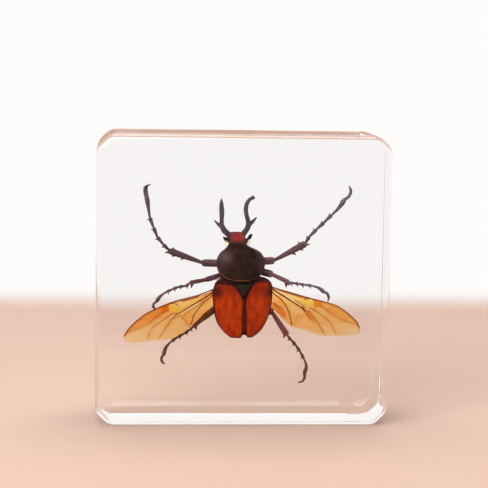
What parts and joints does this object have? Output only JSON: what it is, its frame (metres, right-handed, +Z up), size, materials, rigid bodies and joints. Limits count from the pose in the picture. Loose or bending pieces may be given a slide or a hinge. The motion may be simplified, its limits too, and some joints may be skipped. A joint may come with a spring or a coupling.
{
  "type": "insect in resin block",
  "caption": "Spread-winged horned beetle sealed in a clear square resin block with rounded corners, standing on its lower edge face.",
  "frame": {"origin": "middle of the foot, on the surface that the block stands on", "axes": "+Z up towards the beetle's head, -Y to the front, which the beetle's back faces, +X to the beetle's right"},
  "size_m": [0.0754, 0.022, 0.075],
  "materials": {
    "clear_resin": "polished clear cast resin",
    "red_brown_head": "shiny dark red insect shell",
    "dark_shell": "shiny black-brown insect shell",
    "wing_cover": "glossy chestnut insect shell",
    "wing_membrane": "thin amber membrane with brown veins",
    "leg_shell": "dark purple-brown insect shell"
  },
  "bodies": {
    "root": {"resin_front": "clear_resin", "resin_back": "clear_resin", "head": "red_brown_head", "pronotum": "dark_shell", "thorax_and_abdomen": "dark_shell", "elytron_left": "wing_cover", "elytron_right": "wing_cover", "hind_wing_left": "wing_membrane", "hind_wing_right": "wing_membrane", "leg_front_left": "leg_shell", "leg_front_right": "leg_shell", "leg_middle_left": "leg_shell", "leg_middle_right": "leg_shell", "leg_hind_left": "leg_shell", "leg_hind_right": "leg_shell"}
  },
  "joints": []
}
